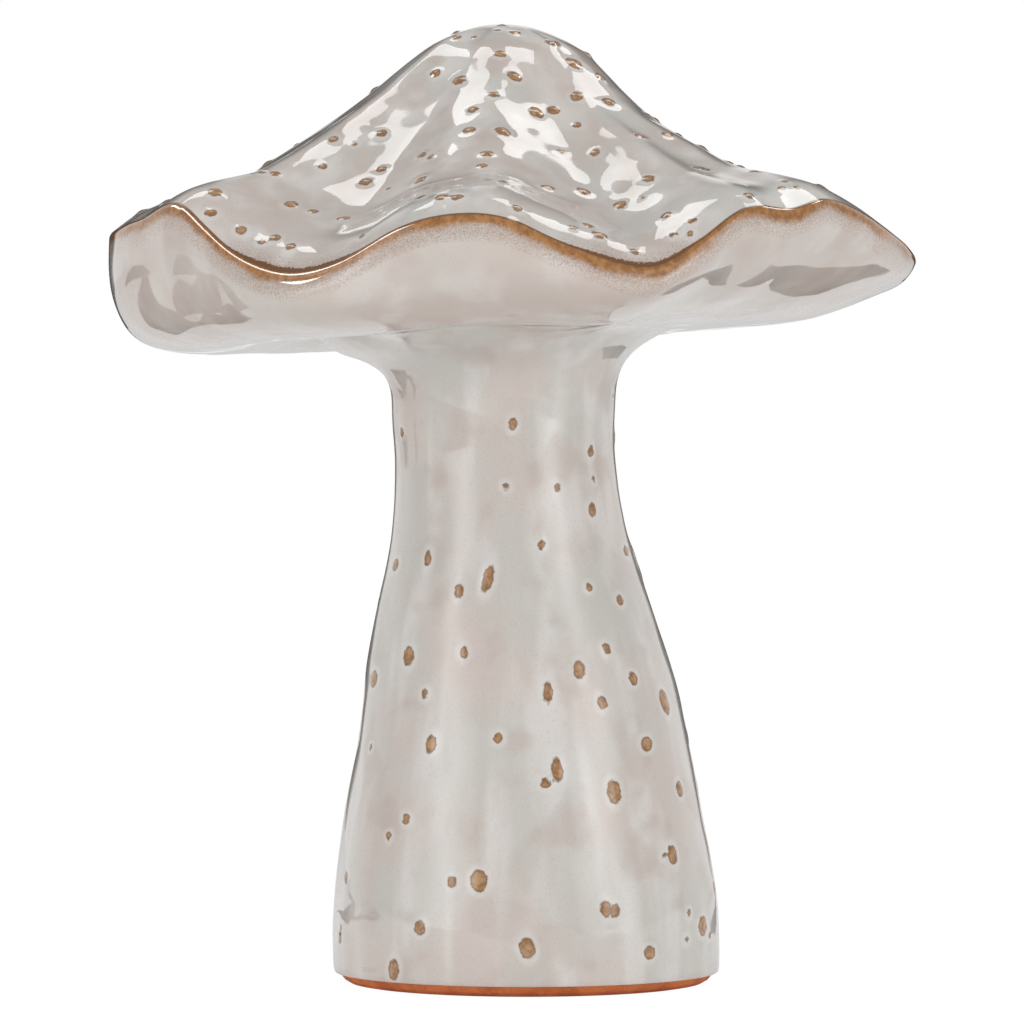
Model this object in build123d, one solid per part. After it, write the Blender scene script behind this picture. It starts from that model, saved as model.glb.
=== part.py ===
from build123d import *
from math import asin, cos, degrees, hypot, radians, sin
import os

# Ceramic mushroom ornament, real size in millimetres, +Z up.
# The origin is the centre of the foot, on the surface that the mushroom stands on.
# Bearings are in degrees, seen from above: 0 is the front (-Y) and +90 is the right (+X).

# Whole form, over the glaze
peak_height = 200.0
rim_height = 153.0
cap_radius = 84.2
ruffle_height = 8.0
neck_radius = 23.2
foot_radius = 40.4

# How far the underside, the neck and its joint lie below the rim
pan_drop_left = 21.7
pan_drop_right = 16.7
neck_top_drop = 28.5
joint_drop = 37.0

# The mushroom leans: how far each level's centre stands to the left of the foot's
peak_lean = 4.7
cap_lean = 3.1
neck_lean = 4.9

# Walls and coats
glaze_thickness = 0.8
bond_gap = 0.15
cap_wall = 3.2
stem_wall = 4.2
slip_thickness = 0.4
seam_recess = 0.2
lip_radius = 1.6

# Neck joint: the stem's spigot stands in the collar of the cap
spigot_height = 8.0
spigot_wall = 3.2
spigot_headroom = 2.0

# Foot and base disc
foot_round = 4.0
bare_foot_height = 2.0
foot_wall = 7.5
disc_recess = 2.0
disc_thickness = 5.0
slip_bead = 2.5
bead_hollow_share = 0.3
vent_diameter = 10.0

# Crests and troughs of the rim: bearing, height as a share of the ruffle's height
rim_ruffle_shares = [
    (-90, 0.41), (-75, 0.46), (-64, 0.60), (-53, 0.93), (-47, 0.30), (-40, -0.50), (-31, -0.95),
    (-23, -0.62), (-16, 0.08), (-8, 0.44), (-1, 0.36), (8, -0.35), (19, -0.88), (26, -0.19),
    (34, 0.75), (41, 0.66), (49, 1.02), (62, 0.48), (78, -0.02), (90, -0.22), (102, -0.40),
    (115, -0.12), (127, 0.20), (140, -0.06), (153, -0.69), (166, -0.12), (180, 0.62),
    (195, -0.12), (208, -0.81), (222, 0.0), (236, 0.62), (252, 0.12)]

# Upper side of the cap, from peak to rim: reach as a share of the cap's radius, height as a
# share of the rise from rim to peak, and lean as a share of the way from the cap's axis to the
# peak's
crown_shares = [
    (0.03, 0.998, 1.0), (0.06, 0.990, 1.0), (0.10, 0.969, 1.0), (0.15, 0.932, 1.0),
    (0.20, 0.880, 1.0), (0.26, 0.785, 1.2), (0.32, 0.684, 1.5), (0.40, 0.565, 1.7),
    (0.48, 0.466, 1.5), (0.56, 0.376, 1.1), (0.64, 0.286, 0.6), (0.72, 0.210, 0.1),
    (0.80, 0.163, 0.0), (0.88, 0.117, 0.0), (0.94, 0.068, 0.0)]
ruffle_fade = 1.7

# Underside, from rim to neck: reach as a share of the way from neck to rim, and height as a
# share of the rise from the pan to the rim, on the deep left side and on the shallow right side
pan_shares = [
    (1.003, 0.82, 0.92), (1.0, 0.60, 0.86), (0.974, 0.38, 0.79), (0.93, 0.19, 0.69),
    (0.87, 0.08, 0.555), (0.77, 0.020, 0.37), (0.66, 0.010, 0.225), (0.51, 0.070, 0.11),
    (0.37, 0.175, 0.055), (0.27, 0.160, 0.02)]

# Curve from the underside into the neck: reach as before, height as a share of the rise from
# the neck's top to the pan
fillet_shares = [(0.20, 1.04), (0.135, 0.89), (0.075, 0.68), (0.03, 0.40), (0.008, 0.10)]

# Stem, from the joint under the cap to the foot: height as a share of the joint's height,
# radius as a share of the way from neck to foot, and lean as a share of the neck's lean
stem_shares = [
    (1.0, -0.010, 1.0), (0.965, -0.018, 0.95), (0.922, -0.010, 0.88), (0.866, 0.020, 0.80),
    (0.810, 0.075, 0.71), (0.758, 0.163, 0.63), (0.706, 0.262, 0.57), (0.650, 0.366, 0.49),
    (0.595, 0.465, 0.39), (0.543, 0.541, 0.27), (0.491, 0.605, 0.18), (0.431, 0.663, 0.12),
    (0.379, 0.727, 0.12), (0.327, 0.797, 0.12), (0.272, 0.866, 0.08), (0.220, 0.930, 0.04),
    (0.164, 0.977, 0.0), (0.112, 1.0, 0.0), (0.070, 1.0, 0.0)]

# Levels under the cap
pan_height_left = rim_height - pan_drop_left
pan_height_right = rim_height - pan_drop_right
neck_top_height = rim_height - neck_top_drop
stem_joint_height = rim_height - joint_drop

# Depths below the glaze's surface
clay_depth = glaze_thickness + bond_gap
cap_cavity_depth = clay_depth + cap_wall
stem_cavity_depth = clay_depth + stem_wall

# Radii at the neck joint and at the foot
collar_radius = neck_radius - cap_cavity_depth
spigot_radius = collar_radius - slip_thickness
foot_bore_radius = foot_radius - clay_depth - foot_wall
disc_top = disc_recess + disc_thickness
foot_bore_top = disc_top + 2 * slip_bead
glaze_end_turn = degrees(asin(1 - bare_foot_height / foot_round))
spigot_top = stem_joint_height + spigot_height
collar_foot = stem_joint_height + slip_thickness

stem_top_radius = neck_radius + (foot_radius - neck_radius) * stem_shares[0][1]

# How finely the form is drawn: points round each ring, and rings along each stretch
ring_points = 90
crown_steps = 20
pan_steps = 24
stem_steps = 24
lip_turns = (40, 57, 73, 90)
flange_steps, wall_steps, collar_steps = 3, 6, 4
shoulder_steps, foot_steps = 2, 3
foot_round_steps = 3
lip_end = crown_steps + len(lip_turns) - 1
ring_step = 360 / ring_points
bearings = [ring_step * step for step in range(ring_points)]


def blend(start, end, share):
    """The value a share of the way from start to end."""
    return start + (end - start) * share


def through(stations, place):
    """The value at a place on a smooth curve through stations (place, value)."""
    last = len(stations) - 1
    here = min(max(k for k in range(last + 1) if stations[k][0] <= place), last - 1)
    around = [stations[min(max(k, 0), last)] for k in range(here - 1, here + 3)]
    (p0, v0), (p1, v1), (p2, v2), (p3, v3) = around
    slope_in = (v2 - v0) / (p2 - p0) * (p2 - p1)
    slope_out = (v3 - v1) / (p3 - p1) * (p2 - p1)
    t = (place - p1) / (p2 - p1)
    return ((2 * t**3 - 3 * t**2 + 1) * v1 + (t**3 - 2 * t**2 + t) * slope_in
            + (3 * t**2 - 2 * t**3) * v2 + (t**3 - t**2) * slope_out)


def even_points(points, count):
    """Points at even distances along a smooth line through points (reach, lean, height)."""
    way = [0]
    for before, after in zip(points, points[1:]):
        way.append(way[-1] + hypot(after[0] - before[0], after[2] - before[2]))
    curves = [list(zip(way, values)) for values in zip(*points)]
    places = [way[-1] * step / count for step in range(count + 1)]
    return [tuple(through(curve, place) for curve in curves) for place in places]


def ruffle(bearing):
    """Height of the rim above its mean level."""
    first = rim_ruffle_shares[0][0]
    turned = (bearing - first) % 360 + first
    before = [(place - 360, share) for place, share in rim_ruffle_shares[-2:]]
    after = [(place + 360, share) for place, share in rim_ruffle_shares[:2]]
    return ruffle_height * through(before + rim_ruffle_shares + after, turned)


def crown_line(bearing):
    """Points (reach, lean, height) of the cap's upper side, from peak to lip."""
    flat_share = crown_shares[1][0]
    points = []
    for reach_share, height_share, lean_share in crown_shares:
        fade = max(0, (reach_share - flat_share) / (1 - flat_share)) ** ruffle_fade
        height = rim_height + (peak_height - rim_height) * height_share + ruffle(bearing) * fade
        lean = blend(cap_lean, peak_lean, lean_share)
        points.append((cap_radius * reach_share, lean, height))
    return even_points(points + lip_line(bearing)[:1], crown_steps)


def lip_line(bearing):
    """Points of the rounded lip, from the cap's upper side round to its wall."""
    height = rim_height + ruffle(bearing)
    points = []
    for turn in lip_turns:
        reach = cap_radius - lip_radius * (1 - sin(radians(turn)))
        points.append((reach, cap_lean, height - lip_radius * (1 - cos(radians(turn)))))
    return points


def pan_line(bearing):
    """Points of the cap's underside and of its curve into the neck, from lip to stem."""
    side = (1 + sin(radians(bearing))) / 2
    pan_height = blend(pan_height_left, pan_height_right, side)
    wall_top = rim_height + ruffle(bearing) - lip_radius
    points = lip_line(bearing)[-1:]
    for reach_share, left_share, right_share in pan_shares:
        reach = blend(neck_radius, cap_radius, reach_share)
        lean = blend(neck_lean, cap_lean, reach_share)
        height = blend(pan_height, wall_top, blend(left_share, right_share, side))
        points.append((reach, lean, height))
    for reach_share, height_share in fillet_shares:
        reach = blend(neck_radius, cap_radius, reach_share)
        lean = blend(neck_lean, cap_lean, reach_share)
        points.append((reach, lean, blend(neck_top_height, pan_height, height_share)))
    points.append((stem_top_radius, neck_lean, stem_joint_height))
    return even_points(points, pan_steps)


def stem_line():
    """Points of the stem, from the joint under the cap to the top of the foot's rounding."""
    points = [(blend(neck_radius, foot_radius, radius_share), neck_lean * lean_share,
               stem_joint_height * height_share)
              for height_share, radius_share, lean_share in stem_shares]
    points.append((foot_radius, 0, foot_round))
    return even_points(points, stem_steps)


def foot_line(start, end):
    """Points of the foot's rounded edge, between two turns from upright."""
    points = []
    for step in range(foot_round_steps + 1):
        turn = radians(blend(start, end, step / foot_round_steps))
        reach = foot_radius - foot_round * (1 - cos(turn))
        points.append((reach, 0, foot_round * (1 - sin(turn))))
    return points


def inset(points, depth):
    """The same points, moved in by depth, square to their line in the upright plane."""
    moved = []
    last = len(points) - 1
    for k, (reach, lean, height) in enumerate(points):
        before, after = points[max(k - 1, 0)], points[min(k + 1, last)]
        along_reach, along_height = after[0] - before[0], after[2] - before[2]
        length = hypot(along_reach, along_height)
        moved.append((reach + depth * along_height / length, lean,
                      height - depth * along_reach / length))
    return moved


def ring(points):
    """A closed smooth wire through one point (reach, lean, height) for each bearing."""
    places = [Vector(reach * sin(radians(bearing)) - lean, -reach * cos(radians(bearing)), height)
              for bearing, (reach, lean, height) in zip(bearings, points)]
    steps = [bearing / 360 for bearing in bearings] + [1.0]
    return Wire([Edge.make_spline(places, periodic=True, parameters=steps)])


def rings(lines):
    """The wires through the points that a line has at each bearing."""
    return [ring(points) for points in zip(*lines)]


def level_ring(reach, lean, height):
    """A round level wire."""
    return ring([(reach, lean, height)] * ring_points)


def body_lines(depth):
    """For each bearing, points at one depth below the glaze, from peak to neck joint."""
    lines = []
    for body in glazed_lines:
        reach, lean, height = body[0]
        flat_top = [(reach, lean, height - depth)]
        lines.append(flat_top + inset(body + glazed_stem[1:], depth)[1:len(body)])
    return lines


def skin(depth):
    """Rings at one depth below the glaze, as four bands: crown, lip, underside and stem."""
    lines = body_lines(depth)
    stem_points = [(reach - depth, lean, height) for reach, lean, height in glazed_stem]
    return [rings([line[:crown_steps + 1] for line in lines]),
            rings([line[crown_steps:lip_end + 1] for line in lines]),
            rings([line[lip_end:] for line in lines]), rings([stem_points] * ring_points)]


def foot_rings(depth, start, end):
    """Rings of the foot's rounded edge, moved in level by depth."""
    line = [(reach - depth, lean, height) for reach, lean, height in foot_line(start, end)]
    return rings([line] * ring_points)


def closed_solid(bands, flats):
    """One solid, bounded by bands of skin from ring to ring, and by flat faces."""
    faces = list(flats)
    for band in bands:
        faces += Shell.make_loft(band, ruled=True).faces()
    return Solid(Shell(faces))


def joined(*bands):
    """Bands in which each one starts with the ring that ends the one before it."""
    linked = [bands[0]]
    for band in bands[1:]:
        linked.append([linked[-1][-1]] + band[1:])
    return linked


def seam_ring(inward, drop):
    """One edge of the slip inside the lip, moved in from the clay's skin and down."""
    ends = [line[lip_end] for line in body_lines(clay_depth)]
    return ring([(reach - inward, lean, height - drop) for reach, lean, height in ends])


def cap_crown():
    """Upper shell of the cap, cast hollow, down to the seam inside the lip."""
    outer = joined(clay_skin[0], clay_skin[1][:-1] + [seam_outer_top])
    inner = cap_cavity_skin[0][:-flange_steps]
    flange = [seam_outer_top, seam_inner_top, inner[-1]]
    return closed_solid(outer + [inner, flange], [Face(outer[0][0]), Face(inner[0])])


def rim_slip_seam():
    """Slip that holds the two shells of the cap together."""
    loop = [seam_outer_top, seam_inner_top, seam_inner_foot, seam_outer_foot, seam_outer_top]
    return closed_solid([loop], [])


def cap_underside():
    """Lower shell of the cap, like a saucer, with the collar that stands on the stem."""
    outer_joint = level_ring(joint_radius, neck_lean, collar_foot)
    bore_foot = level_ring(collar_radius, neck_lean, collar_foot)
    bore_top = level_ring(collar_radius, neck_lean, spigot_top + spigot_headroom)
    collar_end = Face(outer_joint, [bore_foot])
    outer = [seam_outer_foot] + clay_skin[2][1:-1] + [outer_joint]
    inner = cap_cavity_skin[2][wall_steps:-collar_steps] + [bore_top]
    flange = [seam_outer_foot, seam_inner_foot, inner[0]]
    return closed_solid([outer, inner, flange, [bore_top, bore_foot]], [collar_end])


def neck_slip_seam():
    """Slip between the stem and the collar: a washer with a sleeve round the spigot."""
    edge = [level_ring(joint_radius, neck_lean, height)
            for height in (stem_joint_height, collar_foot)]
    sleeve_outside = [level_ring(collar_radius, neck_lean, height)
                      for height in (collar_foot, spigot_top)]
    sleeve_inside = [level_ring(spigot_radius, neck_lean, height)
                     for height in (spigot_top, stem_joint_height)]
    flats = [Face(edge[1], [sleeve_outside[0]]), Face(sleeve_outside[1], [sleeve_inside[0]]),
             Face(edge[0], [sleeve_inside[1]])]
    return closed_solid([edge, sleeve_outside, sleeve_inside], flats)


def stem():
    """Hollow stem, with its spigot at the top and its foot ring at the bottom."""
    bore_radius = spigot_radius - spigot_wall
    outer = joined(clay_skin[3], foot_rings(clay_depth, 0, glaze_end_turn),
                   foot_rings(clay_depth, glaze_end_turn, 90))
    joint, ground = outer[0][0], outer[-1][-1]
    foot_bore = [level_ring(foot_bore_radius, 0, height) for height in (foot_bore_top, 0)]
    spigot_bore = [level_ring(bore_radius, neck_lean, height)
                   for height in (spigot_top, stem_joint_height)]
    spigot = [level_ring(spigot_radius, neck_lean, height)
              for height in (stem_joint_height, spigot_top)]
    cavity = [spigot_bore[1]] + stem_cavity_skin[3][shoulder_steps:-foot_steps] + foot_bore[:1]
    flats = [Face(ground, [foot_bore[1]]), Face(joint, [spigot[0]]),
             Face(spigot[1], [spigot_bore[0]])]
    return closed_solid(outer + [cavity, foot_bore, spigot_bore, spigot], flats)


def base_disc():
    """Plate that closes the stem from below, with a vent hole for the kiln."""
    radius = foot_bore_radius - slip_thickness
    lift = Pos(0, 0, disc_recess)
    level = (Align.CENTER, Align.CENTER, Align.MIN)
    plate = lift * Cylinder(radius, disc_thickness, align=level)
    return (plate - lift * Cylinder(vent_diameter / 2, disc_thickness, align=level)).solid()


def base_slip_seam():
    """Slip round the base disc, with a bead smoothed into the corner above it."""
    disc_edge = foot_bore_radius - slip_thickness
    bead_top = (foot_bore_radius, disc_top + slip_bead)
    bead_foot = (disc_edge - slip_bead, disc_top)
    sunk = bead_hollow_share * slip_bead
    hollow = (disc_edge - sunk, disc_top + sunk)
    corners = [bead_foot, (disc_edge, disc_top), (disc_edge, disc_recess),
               (foot_bore_radius, disc_recess), bead_top]
    outline = Polyline(*corners) + ThreePointArc(bead_top, hollow, bead_foot)
    return revolve(Plane.XZ * make_face(outline), axis=Axis.Z).solid()


def glaze_coat():
    """Coat of glaze over cap and stem, down to the bare foot."""
    outer = joined(*skin(0), foot_rings(0, 0, glaze_end_turn))
    inner = joined(*skin(glaze_thickness), foot_rings(glaze_thickness, 0, glaze_end_turn))
    flats = [Face(outer[0][0]), Face(inner[0][0]), Face(outer[-1][-1], [inner[-1][-1]])]
    return closed_solid(outer + inner, flats)


glazed_stem = stem_line()
glazed_lines = [crown_line(bearing) + lip_line(bearing)[1:] + pan_line(bearing)[1:]
                for bearing in bearings]
joint_radius = stem_top_radius - clay_depth
seam_outer_top = seam_ring(seam_recess, 0)
seam_inner_top = seam_ring(cap_wall, 0)
seam_outer_foot = seam_ring(seam_recess, slip_thickness)
seam_inner_foot = seam_ring(cap_wall, slip_thickness)
clay_skin = skin(clay_depth)
cap_cavity_skin = skin(cap_cavity_depth)
stem_cavity_skin = skin(stem_cavity_depth)

pieces = {
    "cap_crown": cap_crown,
    "rim_slip_seam": rim_slip_seam,
    "cap_underside": cap_underside,
    "neck_slip_seam": neck_slip_seam,
    "stem": stem,
    "base_slip_seam": base_slip_seam,
    "base_disc": base_disc,
    "glaze_coat": glaze_coat,
}

os.makedirs("parts", exist_ok=True)
for name, make in pieces.items():
    piece = make()
    piece.label = name
    export_step(piece, f"parts/{name}.step")
    print(name, "volume", round(piece.volume / 1000, 2), "cm3, sound:", piece.is_valid)
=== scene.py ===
# %% [markdown]
# # A glazed ceramic mushroom
# The real thing is a hollow ornament, cast in two shells for the cap and one tube for the stem,
# joined with slip, dipped in a glossy glaze and fired. What an eye sees of it is nearly all glaze:
# a soft grey skin, brown where it breaks over the rim and over small bumps, and a thin line of
# bare clay at the foot. So most of this file makes that skin, and the light that shows its gloss.
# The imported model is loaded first. It is the fixed frame, in metres, that every new piece fits.

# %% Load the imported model
import random
from bisect import bisect
from itertools import accumulate
from math import asin, atan2, cos, degrees, exp, hypot, pi, radians, sin

import bmesh
import bpy
import numpy as np
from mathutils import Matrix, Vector, noise
from mathutils.bvhtree import BVHTree
from mathutils.kdtree import KDTree


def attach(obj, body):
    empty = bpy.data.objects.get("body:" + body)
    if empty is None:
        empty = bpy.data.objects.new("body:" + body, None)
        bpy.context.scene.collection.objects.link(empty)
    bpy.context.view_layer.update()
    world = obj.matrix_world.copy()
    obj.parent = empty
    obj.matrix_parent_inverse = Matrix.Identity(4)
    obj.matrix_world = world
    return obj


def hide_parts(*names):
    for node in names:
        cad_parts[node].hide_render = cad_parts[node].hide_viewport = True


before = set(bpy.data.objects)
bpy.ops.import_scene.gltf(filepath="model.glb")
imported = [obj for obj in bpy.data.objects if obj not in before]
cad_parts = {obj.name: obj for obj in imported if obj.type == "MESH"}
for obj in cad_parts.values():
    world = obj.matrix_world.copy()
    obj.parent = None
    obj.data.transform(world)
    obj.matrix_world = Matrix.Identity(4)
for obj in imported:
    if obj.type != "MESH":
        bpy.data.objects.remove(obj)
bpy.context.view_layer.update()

mm = 0.001
print("clay pieces:", sorted(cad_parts))

# %% [markdown]
# ## Where the photographer stands
# The picture was taken from far off with a long lens, level with the middle of the mushroom, so
# upright lines stay upright and the far side is hardly smaller than the near one. The camera comes
# first, because the specks are later placed by where they show in the picture.

# %% Camera
camera_aside, camera_distance, camera_height = -3.03, 1150, 98.26
camera_place = Vector((camera_aside, -camera_distance, camera_height)) * mm
focal_pixels = 5500
picture_side = 1024

bpy.ops.object.select_all(action='DESELECT')
bpy.ops.object.camera_add(location=camera_place, rotation=(pi / 2, 0, 0))
camera = bpy.context.object
camera.name = "camera"
camera.data.sensor_width = 36
camera.data.lens = focal_pixels / picture_side * camera.data.sensor_width
bpy.context.scene.camera = camera
print("lens:", round(camera.data.lens), "mm")


def way_to(column, row):
    """The direction from the camera to a point of the picture, in pixels from its top left."""
    middle = picture_side / 2
    return Vector((column - middle, focal_pixels, middle - row)).normalized()


# %% [markdown]
# ## The form
# A potter would describe this shape by a few outlines: the slope of the cap from peak to rim, the
# belly under the cap, the flare of the stem, and the waves of the rim seen from above. The tables
# give each outline as shares of the main sizes, so that the form can be stretched by one number.
# Bearings go round the mushroom: 0 is the front, 90 is the right.

# %% Main sizes, in millimetres
peak_height, rim_height = 200.0, 153.0
cap_radius, neck_radius, foot_radius = 84.2, 23.2, 40.4
ruffle_height = 8.0
pan_height_left, pan_height_right = 131.3, 136.3
neck_top_height, joint_height = 124.5, 116.0
peak_lean, cap_lean, neck_lean = 4.7, 3.1, 4.9
lip_radius, glaze_thickness = 1.6, 0.8
foot_round, bare_foot_height = 4.0, 2.4

# %% Outlines, as shares of those sizes
rim_ruffle_shares = [
    (-90, 0.41), (-75, 0.46), (-64, 0.60), (-53, 0.93), (-47, 0.30), (-40, -0.50), (-31, -0.95),
    (-23, -0.62), (-16, 0.08), (-8, 0.44), (-1, 0.36), (8, -0.35), (19, -0.88), (26, -0.19),
    (34, 0.75), (41, 0.66), (49, 1.02), (62, 0.48), (78, -0.02), (90, -0.22), (102, -0.40),
    (115, -0.12), (127, 0.20), (140, -0.06), (153, -0.69), (166, -0.12), (180, 0.62),
    (195, -0.12), (208, -0.81), (222, 0.0), (236, 0.62), (252, 0.12)]
crown_shares = [
    (0.03, 0.998, 1.0), (0.06, 0.990, 1.0), (0.10, 0.969, 1.0), (0.15, 0.932, 1.0),
    (0.20, 0.880, 1.0), (0.26, 0.785, 1.2), (0.32, 0.684, 1.5), (0.40, 0.565, 1.7),
    (0.48, 0.466, 1.5), (0.56, 0.376, 1.1), (0.64, 0.286, 0.6), (0.72, 0.210, 0.1),
    (0.80, 0.163, 0.0), (0.88, 0.117, 0.0), (0.94, 0.068, 0.0)]
pan_shares = [
    (1.003, 0.82, 0.92), (1.0, 0.60, 0.86), (0.974, 0.38, 0.79), (0.93, 0.19, 0.69),
    (0.87, 0.08, 0.555), (0.77, 0.020, 0.37), (0.66, 0.010, 0.225), (0.51, 0.070, 0.11),
    (0.37, 0.175, 0.055), (0.27, 0.160, 0.02)]
fillet_shares = [(0.20, 1.04), (0.135, 0.89), (0.075, 0.68), (0.03, 0.40), (0.008, 0.10)]
stem_shares = [
    (1.0, -0.010, 1.0), (0.965, -0.018, 0.95), (0.922, -0.010, 0.88), (0.866, 0.020, 0.80),
    (0.810, 0.075, 0.71), (0.758, 0.163, 0.63), (0.706, 0.262, 0.57), (0.650, 0.366, 0.49),
    (0.595, 0.465, 0.39), (0.543, 0.541, 0.27), (0.491, 0.605, 0.18), (0.431, 0.663, 0.12),
    (0.379, 0.727, 0.12), (0.327, 0.797, 0.12), (0.272, 0.866, 0.08), (0.220, 0.930, 0.04),
    (0.164, 0.977, 0.0), (0.112, 1.0, 0.0), (0.070, 1.0, 0.0)]
ruffle_fade = 1.2
fold_depth, crest_fold_share = 2.6, 0.12
lip_turns = (40, 50, 60, 70, 80, 90)

# %% Smooth lines through an outline's stations


def blend(start, end, share):
    """The value a share of the way from start to end."""
    return start + (end - start) * share


def through(stations, place):
    """The value at a place on a smooth curve through stations (place, value)."""
    last = len(stations) - 1
    here = min(max(k for k in range(last + 1) if stations[k][0] <= place), last - 1)
    around = [stations[min(max(k, 0), last)] for k in range(here - 1, here + 3)]
    (p0, v0), (p1, v1), (p2, v2), (p3, v3) = around
    slope_in = (v2 - v0) / (p2 - p0) * (p2 - p1)
    slope_out = (v3 - v1) / (p3 - p1) * (p2 - p1)
    t = (place - p1) / (p2 - p1)
    return ((2 * t**3 - 3 * t**2 + 1) * v1 + (t**3 - 2 * t**2 + t) * slope_in
            + (3 * t**2 - 2 * t**3) * v2 + (t**3 - t**2) * slope_out)


def even_points(points, count):
    """Points at even distances along a smooth line through points (reach, lean, height)."""
    way = [0]
    for before, after in zip(points, points[1:]):
        way.append(way[-1] + hypot(after[0] - before[0], after[2] - before[2]))
    curves = [list(zip(way, values)) for values in zip(*points)]
    places = [way[-1] * step / count for step in range(count + 1)]
    return [tuple(through(curve, place) for curve in curves) for place in places]


def ruffle_share(bearing):
    """How far the rim is up or down at a bearing, as a share of the ruffle's height."""
    first = rim_ruffle_shares[0][0]
    turned = (bearing - first) % 360 + first
    before = [(place - 360, share) for place, share in rim_ruffle_shares[-2:]]
    after = [(place + 360, share) for place, share in rim_ruffle_shares[:2]]
    return through(before + rim_ruffle_shares + after, turned)


print("rim at the front:", round(ruffle_share(0), 2), "of the ruffle's height")

# %% The outlines at one bearing


def lip_line(bearing):
    """Points of the rounded lip, from the cap's upper side round to its wall."""
    height = rim_height + ruffle_height * ruffle_share(bearing)
    return [(cap_radius - lip_radius * (1 - sin(radians(turn))), cap_lean,
             height - lip_radius * (1 - cos(radians(turn)))) for turn in lip_turns]


def crown_line(bearing, count):
    """Points of the cap's upper side, from near the peak to the lip."""
    flat_share = crown_shares[1][0]
    points = []
    for reach_share, height_share, lean_share in crown_shares:
        fade = max(0, (reach_share - flat_share) / (1 - flat_share)) ** ruffle_fade
        height = (blend(rim_height, peak_height, height_share)
                  + ruffle_height * ruffle_share(bearing) * fade)
        points.append((cap_radius * reach_share, blend(cap_lean, peak_lean, lean_share), height))
    return even_points(points + lip_line(bearing)[:1], count)


def pan_line(bearing, count):
    """Points of the cap's underside and of its curve into the neck, from lip to stem."""
    side = (1 + sin(radians(bearing))) / 2
    pan_height = blend(pan_height_left, pan_height_right, side)
    wall_top = rim_height + ruffle_height * ruffle_share(bearing) - lip_radius
    fold = (fold_depth * min(crest_fold_share, ruffle_share(bearing))
            * cos(radians(bearing))**2)
    points = lip_line(bearing)[-1:]
    for reach_share, left_share, right_share in pan_shares:
        height_share = blend(left_share, right_share, side)
        points.append((blend(neck_radius, cap_radius, reach_share)
                       - 4 * fold * height_share * (1 - height_share),
                       blend(neck_lean, cap_lean, reach_share),
                       blend(pan_height, wall_top, height_share)))
    for reach_share, height_share in fillet_shares:
        points.append((blend(neck_radius, cap_radius, reach_share),
                       blend(neck_lean, cap_lean, reach_share),
                       blend(neck_top_height, pan_height, height_share)))
    stem_top = blend(neck_radius, foot_radius, stem_shares[0][1])
    return even_points(points + [(stem_top, neck_lean, joint_height)], count)


def stem_line(count):
    """Points of the stem, from the joint under the cap to the top of the foot's rounding."""
    points = [(blend(neck_radius, foot_radius, radius_share), neck_lean * lean_share,
               joint_height * height_share)
              for height_share, radius_share, lean_share in stem_shares]
    return even_points(points + [(foot_radius, 0, foot_round)], count)


def foot_line(turns):
    """Points of the foot's rounded edge at some turns from upright."""
    return [(foot_radius - foot_round * (1 - cos(radians(turn))), 0,
             foot_round * (1 - sin(radians(turn)))) for turn in turns]


print("points from peak to lip:", len(crown_line(0, 34)) + len(lip_turns) - 1)

# %% [markdown]
# ## Growing a shell from a circle
# The skin of the cap and of the stem is round with a disturbed edge. It could be a lathed profile,
# but then every bearing would be alike. Instead a circle is extruded ring after ring, scaled and
# moved each time, as one would do by hand in edit mode. That gives even, flowing faces. Each
# point is then nudged to its own outline, which brings in the ruffles, and a subdivision surface
# rounds it all off. Before that the faces are sorted, because extrude leaves them in an order that
# differs from run to run, and the specks, which are later scattered face by face, would move.

# %% Extrude the rings, then settle them on their outlines


def grown_shell(name, lines):
    """A tube of rings, with one line of points (reach, lean, height) for each bearing."""
    columns = len(lines)
    mean = [[sum(values) / columns for values in zip(*ring)] for ring in zip(*lines)]
    reach, lean, height = mean[0]
    bpy.ops.object.select_all(action='DESELECT')
    bpy.ops.mesh.primitive_circle_add(vertices=columns, radius=reach * mm)
    shell = bpy.context.object
    shell.name = shell.data.name = name
    bpy.ops.object.mode_set(mode='EDIT')
    bpy.ops.transform.translate(value=(-lean * mm, 0, height * mm))
    for new_reach, new_lean, new_height in mean[1:]:
        step = ((lean - new_lean) * mm, 0, (new_height - height) * mm)
        bpy.ops.mesh.extrude_region_move(TRANSFORM_OT_translate={"value": step})
        scale = new_reach / reach
        bpy.ops.transform.resize(value=(scale, scale, 1),
                                 center_override=(-new_lean * mm, 0, new_height * mm))
        reach, lean, height = new_reach, new_lean, new_height
    bpy.ops.object.mode_set(mode='OBJECT')
    settle(shell, lines, mean)
    return shell


def settle(shell, lines, mean):
    """Moves each point of the shell from its round ring to its own place on the outline."""
    columns = len(lines)
    levels = np.array([(reach, height) for reach, lean, height in mean]) * mm
    leans = np.array([lean for reach, lean, height in mean]) * mm
    for vertex in shell.data.vertices:
        x, y, z = vertex.co
        reaches = np.hypot(x + leans, y)
        ring = int(np.argmin((reaches - levels[:, 0])**2 + (z - levels[:, 1])**2))
        column = round(atan2(x + leans[ring], -y) / (2 * pi) * columns) % columns
        bearing = 2 * pi * column / columns
        reach, lean, height = lines[column][ring]
        vertex.co = Vector((reach * sin(bearing) - lean, -reach * cos(bearing), height)) * mm


def in_fixed_order(shell):
    """Sorts the shell's edges and faces, which extrude leaves in another order in each run."""
    mesh = bmesh.new()
    mesh.from_mesh(shell.data)
    count = len(mesh.verts)
    for parts in (mesh.edges, mesh.faces):
        parts.sort(key=lambda part: sum(
            corner * count**power
            for power, corner in enumerate(sorted(vertex.index for vertex in part.verts))))
    mesh.to_mesh(shell.data)
    mesh.free()


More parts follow.
